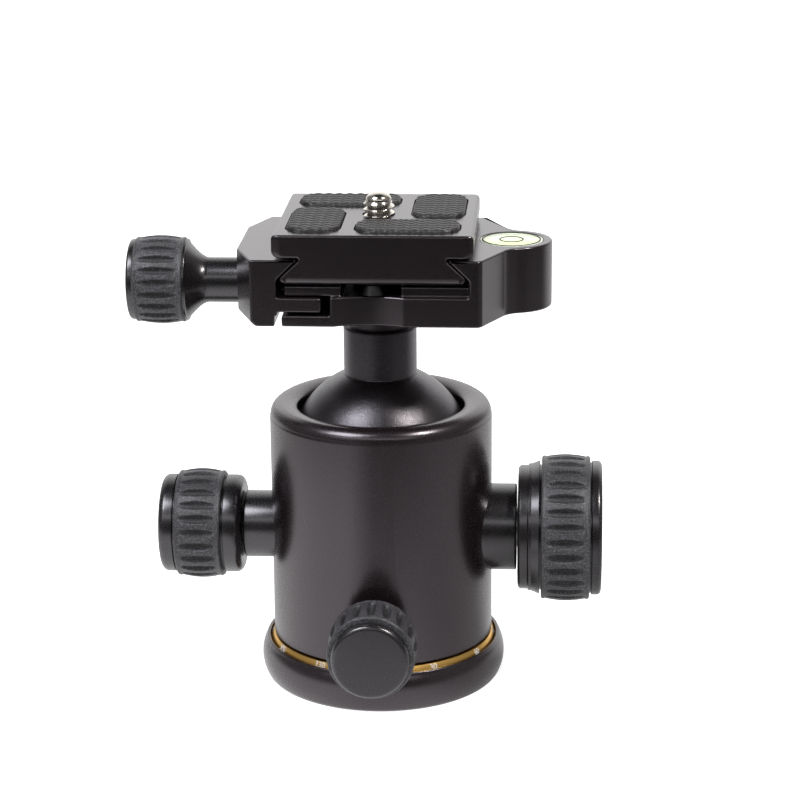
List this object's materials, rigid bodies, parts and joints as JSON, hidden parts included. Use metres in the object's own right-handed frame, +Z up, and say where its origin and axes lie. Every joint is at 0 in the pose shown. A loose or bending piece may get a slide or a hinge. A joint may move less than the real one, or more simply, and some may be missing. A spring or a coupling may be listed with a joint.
{
  "type": "tripod ball head",
  "caption": "Compact tripod ball head with lock, friction and pan knobs, a pan scale and a dovetail quick-release clamp with its plate and a round level.",
  "frame": {"origin": "centre of the base's underside, on the panning axis, at the mouth of the tripod thread", "axes": "+Z up the panning axis; +X towards the main lock knob, -X friction knob and clamp knob, -Y pan lock knob, +Y drop notch"},
  "size_m": [0.0927, 0.0615, 0.0987],
  "materials": {
    "satin_black_anodise": "satin black anodised aluminium, fine bead blast",
    "gloss_black_anodise": "smooth black anodised aluminium knob parts",
    "ball_black": "blasted black anodised ball with fine sparkle",
    "gold_anodise": "orange gold anodised scale with white ticks and numbers",
    "grip_rubber": "matt black moulded rubber",
    "pad_rubber": "dark grey ribbed rubber",
    "bright_steel": "bright nickel-plated steel",
    "steel": "turned steel",
    "black_steel": "black oxide steel",
    "brass": "turned brass",
    "white_pom": "slippery white acetal",
    "level_green": "pale green level liquid",
    "level_clear": "clear level window",
    "level_white": "pale level cup"
  },
  "bodies": {
    "base": {"pan_base": "satin_black_anodise", "pan_scale_ring": "gold_anodise", "pan_thrust_washer": "white_pom", "pan_retainer": "steel", "pan_retainer_screws": "steel"},
    "head": {"housing": "satin_black_anodise", "bearing_plate": "satin_black_anodise", "upper_seat": "white_pom", "cup_spring": "steel", "main_bush": "gloss_black_anodise", "friction_bush": "gloss_black_anodise", "pan_bush": "gloss_black_anodise"},
    "cup": {"pressure_cup": "satin_black_anodise"},
    "liner": {"ball_liner": "white_pom"},
    "ball": {"ball_stem": "ball_black"},
    "clamp": {"clamp_base": "satin_black_anodise", "clamp_bolt": "black_steel", "jaw_springs": "steel", "level_cup": "level_white", "level_liquid": "level_green", "level_lens": "level_clear"},
    "jaw": {"moving_jaw": "satin_black_anodise"},
    "clamp_knob": {"clamp_screw": "steel", "clamp_knob_hub": "gloss_black_anodise", "clamp_knob_grip": "grip_rubber", "clamp_knob_cap": "gloss_black_anodise"},
    "plate": {"quick_plate": "satin_black_anodise", "plate_pad_front": "pad_rubber", "plate_pad_right": "pad_rubber", "plate_pad_back": "pad_rubber", "plate_pad_left": "pad_rubber", "screw_clip": "steel", "plate_stop_screws": "black_steel"},
    "camera_bolt": {"camera_screw": "bright_steel"},
    "main_pin": {"main_lock_pin": "brass"},
    "main_knob": {"main_screw": "steel", "main_knob_hub": "gloss_black_anodise", "main_knob_grip": "grip_rubber", "main_knob_cap": "gloss_black_anodise"},
    "friction_rod": {"friction_pin": "brass"},
    "friction_knob": {"friction_screw": "steel", "friction_knob_hub": "gloss_black_anodise", "friction_knob_grip": "grip_rubber", "friction_knob_cap": "gloss_black_anodise"},
    "pan_shoe": {"pan_brake_shoe": "brass"},
    "pan_knob": {"pan_screw": "steel", "pan_knob_hub": "gloss_black_anodise", "pan_knob_grip": "grip_rubber", "pan_knob_cap": "gloss_black_anodise"}
  },
  "joints": [
    {"name": "pan_turn", "type": "hinge", "parent": "base", "child": "head", "pos_m": [0, 0, 0], "axis": [0, 0, 1], "continuous": true},
    {"name": "ball_swivel", "type": "hinge", "parent": "head", "child": "liner", "pos_m": [0, 0, 0.046], "axis": [0, 0, 1], "continuous": true},
    {"name": "ball_tilt", "type": "hinge", "parent": "liner", "child": "ball", "pos_m": [0, 0, 0.046], "axis": [1, 0, 0], "range_deg": [-35, 35]},
    {"name": "ball_spin", "type": "hinge", "parent": "ball", "child": "clamp", "pos_m": [0, 0, 0.046], "axis": [0, 0, 1], "continuous": true},
    {"name": "cup_lift", "type": "slide", "parent": "head", "child": "cup", "axis": [0, 0, -1], "range_m": [0, 0.0003], "deforming": ["cup_spring"]},
    {"name": "main_pin_slide", "type": "slide", "parent": "head", "child": "main_pin", "axis": [1, 0, 0], "range_m": [0, 0.001]},
    {"name": "main_lock_turn", "type": "hinge", "parent": "main_pin", "child": "main_knob", "pos_m": [0.0235, 0, 0.0305], "axis": [1, 0, 0], "range_deg": [0, 360]},
    {"name": "friction_pin_slide", "type": "slide", "parent": "head", "child": "friction_rod", "axis": [-1, 0, 0], "range_m": [0, 0.0005]},
    {"name": "friction_turn", "type": "hinge", "parent": "friction_rod", "child": "friction_knob", "pos_m": [-0.0235, 0, 0.0305], "axis": [-1, 0, 0], "range_deg": [0, 180]},
    {"name": "pan_shoe_slide", "type": "slide", "parent": "head", "child": "pan_shoe", "axis": [0, -1, 0], "range_m": [0, 0.0008]},
    {"name": "pan_lock_turn", "type": "hinge", "parent": "pan_shoe", "child": "pan_knob", "pos_m": [0, -0.0205, 0.016], "axis": [0, -1, 0], "range_deg": [0, 360]},
    {"name": "jaw_slide", "type": "slide", "parent": "clamp", "child": "jaw", "axis": [-1, 0, 0], "range_m": [0, 0.0032], "deforming": ["jaw_springs"]},
    {"name": "clamp_knob_turn", "type": "hinge", "parent": "jaw", "child": "clamp_knob", "pos_m": [-0.03, 0, 0.081], "axis": [-1, 0, 0], "range_deg": [0, 1440]},
    {"name": "plate_slide", "type": "slide", "parent": "clamp", "child": "plate", "axis": [0, -1, 0], "range_m": [-0.0086, 0.0086]},
    {"name": "camera_screw_turn", "type": "hinge", "parent": "plate", "child": "camera_bolt", "pos_m": [0, 0, 0.088], "axis": [0, 0, 1], "continuous": true}
  ],
  "couplings": [
    {"joint": "main_lock_turn", "follows": "main_pin_slide", "rad_per_m": 6283.2},
    {"joint": "cup_lift", "follows": "main_pin_slide", "ratio": 0.3},
    {"joint": "friction_turn", "follows": "friction_pin_slide", "rad_per_m": 6283.2},
    {"joint": "pan_lock_turn", "follows": "pan_shoe_slide", "rad_per_m": 7854},
    {"joint": "clamp_knob_turn", "follows": "jaw_slide", "rad_per_m": 7854}
  ]
}
